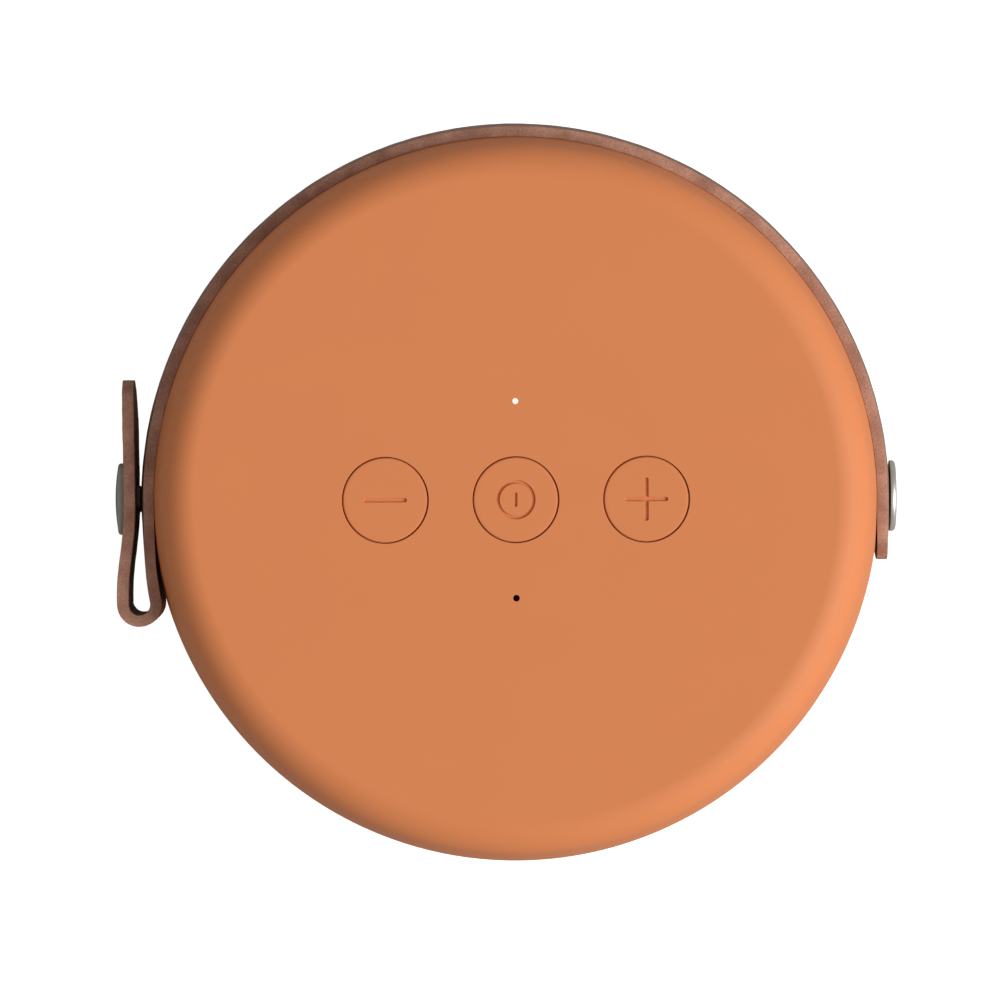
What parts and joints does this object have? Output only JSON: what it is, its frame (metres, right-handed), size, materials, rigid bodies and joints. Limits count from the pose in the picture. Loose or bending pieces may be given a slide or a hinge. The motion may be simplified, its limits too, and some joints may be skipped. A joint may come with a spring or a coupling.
{
  "type": "portable bluetooth speaker",
  "caption": "Flat round portable speaker with three flush buttons on its face, a cloth grille on the other side and a brown leather strap round half of its rim.",
  "frame": {"origin": "middle of the cloth grille's flat outer face, on the axis of the round body", "axes": "+Z out of the control face, along the body's axis; +Y towards the middle of the leather strap; +X towards the riveted end of the strap"},
  "size_m": [0.1396, 0.1318, 0.042],
  "materials": {
    "shell": "soft-touch matte, terracotta orange",
    "leather": "smooth brown leather with raw edges",
    "satin_metal": "satin",
    "grille_cloth": "fine plain weave",
    "black_plastic": "fine moulded grain",
    "steel": "plated",
    "brass": "turned",
    "rubber": "matte",
    "circuit_board": "solder mask",
    "ferrite": "ground",
    "copper": "lacquered winding",
    "cone_paper": "pressed pulp",
    "spider_cloth": "resin-treated cloth",
    "clear_plastic": "frosted clear",
    "battery_wrap": "shrink wrap",
    "ribbon": "polyimide",
    "wire": "insulated"
  },
  "bodies": {
    "housing": {"control_shell": "shell", "rear_ring": "shell", "baffle": "black_plastic", "baffle_gasket": "rubber", "grille_cloth": "grille_cloth", "grille_plate": "steel", "case_screw_1": "steel", "case_screw_2": "steel", "case_screw_3": "steel", "case_screw_4": "steel", "switch_minus": "black_plastic", "switch_power": "black_plastic", "switch_plus": "black_plastic", "button_damper": "rubber", "control_board": "circuit_board", "control_board_screw_1": "steel", "control_board_screw_2": "steel", "control_board_screw_3": "steel", "control_board_screw_4": "steel", "status_led": "clear_plastic", "light_pipe": "clear_plastic", "microphone": "steel", "mic_gasket": "rubber", "main_board": "circuit_board", "main_board_screw_1": "steel", "main_board_screw_2": "steel", "usb_port": "steel", "bluetooth_module": "steel", "amplifier_chip": "black_plastic", "battery_cell": "battery_wrap", "battery_cradle": "black_plastic", "driver_gasket": "rubber", "driver_basket": "steel", "driver_surround": "rubber", "driver_spider": "spider_cloth", "driver_top_plate": "steel", "driver_magnet": "ferrite", "driver_yoke": "steel", "radiator_frame": "black_plastic", "radiator_surround": "rubber", "control_ribbon": "ribbon", "battery_leads": "wire", "driver_leads": "wire", "strap_rivet": "satin_metal", "snap_stud": "satin_metal", "strap_insert_right": "brass", "strap_insert_left": "brass"},
    "strap": {"strap_band": "leather"},
    "flap": {"strap_flap": "leather", "snap_cap": "satin_metal", "snap_socket": "satin_metal"},
    "minus_button": {"button_minus": "shell"},
    "power_button": {"button_power": "shell"},
    "plus_button": {"button_plus": "shell"},
    "cone": {"driver_cone": "cone_paper", "dust_cap": "cone_paper", "voice_coil": "copper"},
    "radiator": {"radiator_plate": "cone_paper", "radiator_weight": "steel"}
  },
  "joints": [
    {"name": "strap_swing", "type": "hinge", "parent": "housing", "child": "strap", "pos_m": [0, 0, 0.021], "axis": [1, 0, 0], "range_deg": [0, 180]},
    {"name": "flap_open", "type": "hinge", "parent": "strap", "child": "flap", "pos_m": [-0.06688, -0.02252, 0.021], "axis": [0, 0, 1], "range_deg": [0, 100]},
    {"name": "minus_press", "type": "slide", "parent": "housing", "child": "minus_button", "axis": [0, 0, -1], "range_m": [0, 0.0004], "stiffness_N_per_m": 600, "springref_m": -0.0004},
    {"name": "power_press", "type": "slide", "parent": "housing", "child": "power_button", "axis": [0, 0, -1], "range_m": [0, 0.0004], "stiffness_N_per_m": 600, "springref_m": -0.0004},
    {"name": "plus_press", "type": "slide", "parent": "housing", "child": "plus_button", "axis": [0, 0, -1], "range_m": [0, 0.0004], "stiffness_N_per_m": 600, "springref_m": -0.0004},
    {"name": "cone_travel", "type": "slide", "parent": "housing", "child": "cone", "axis": [0, 0, 1], "range_m": [-0.0015, 0.0015], "stiffness_N_per_m": 800},
    {"name": "radiator_travel", "type": "slide", "parent": "housing", "child": "radiator", "axis": [0, 0, 1], "range_m": [-0.002, 0.002], "stiffness_N_per_m": 600}
  ]
}
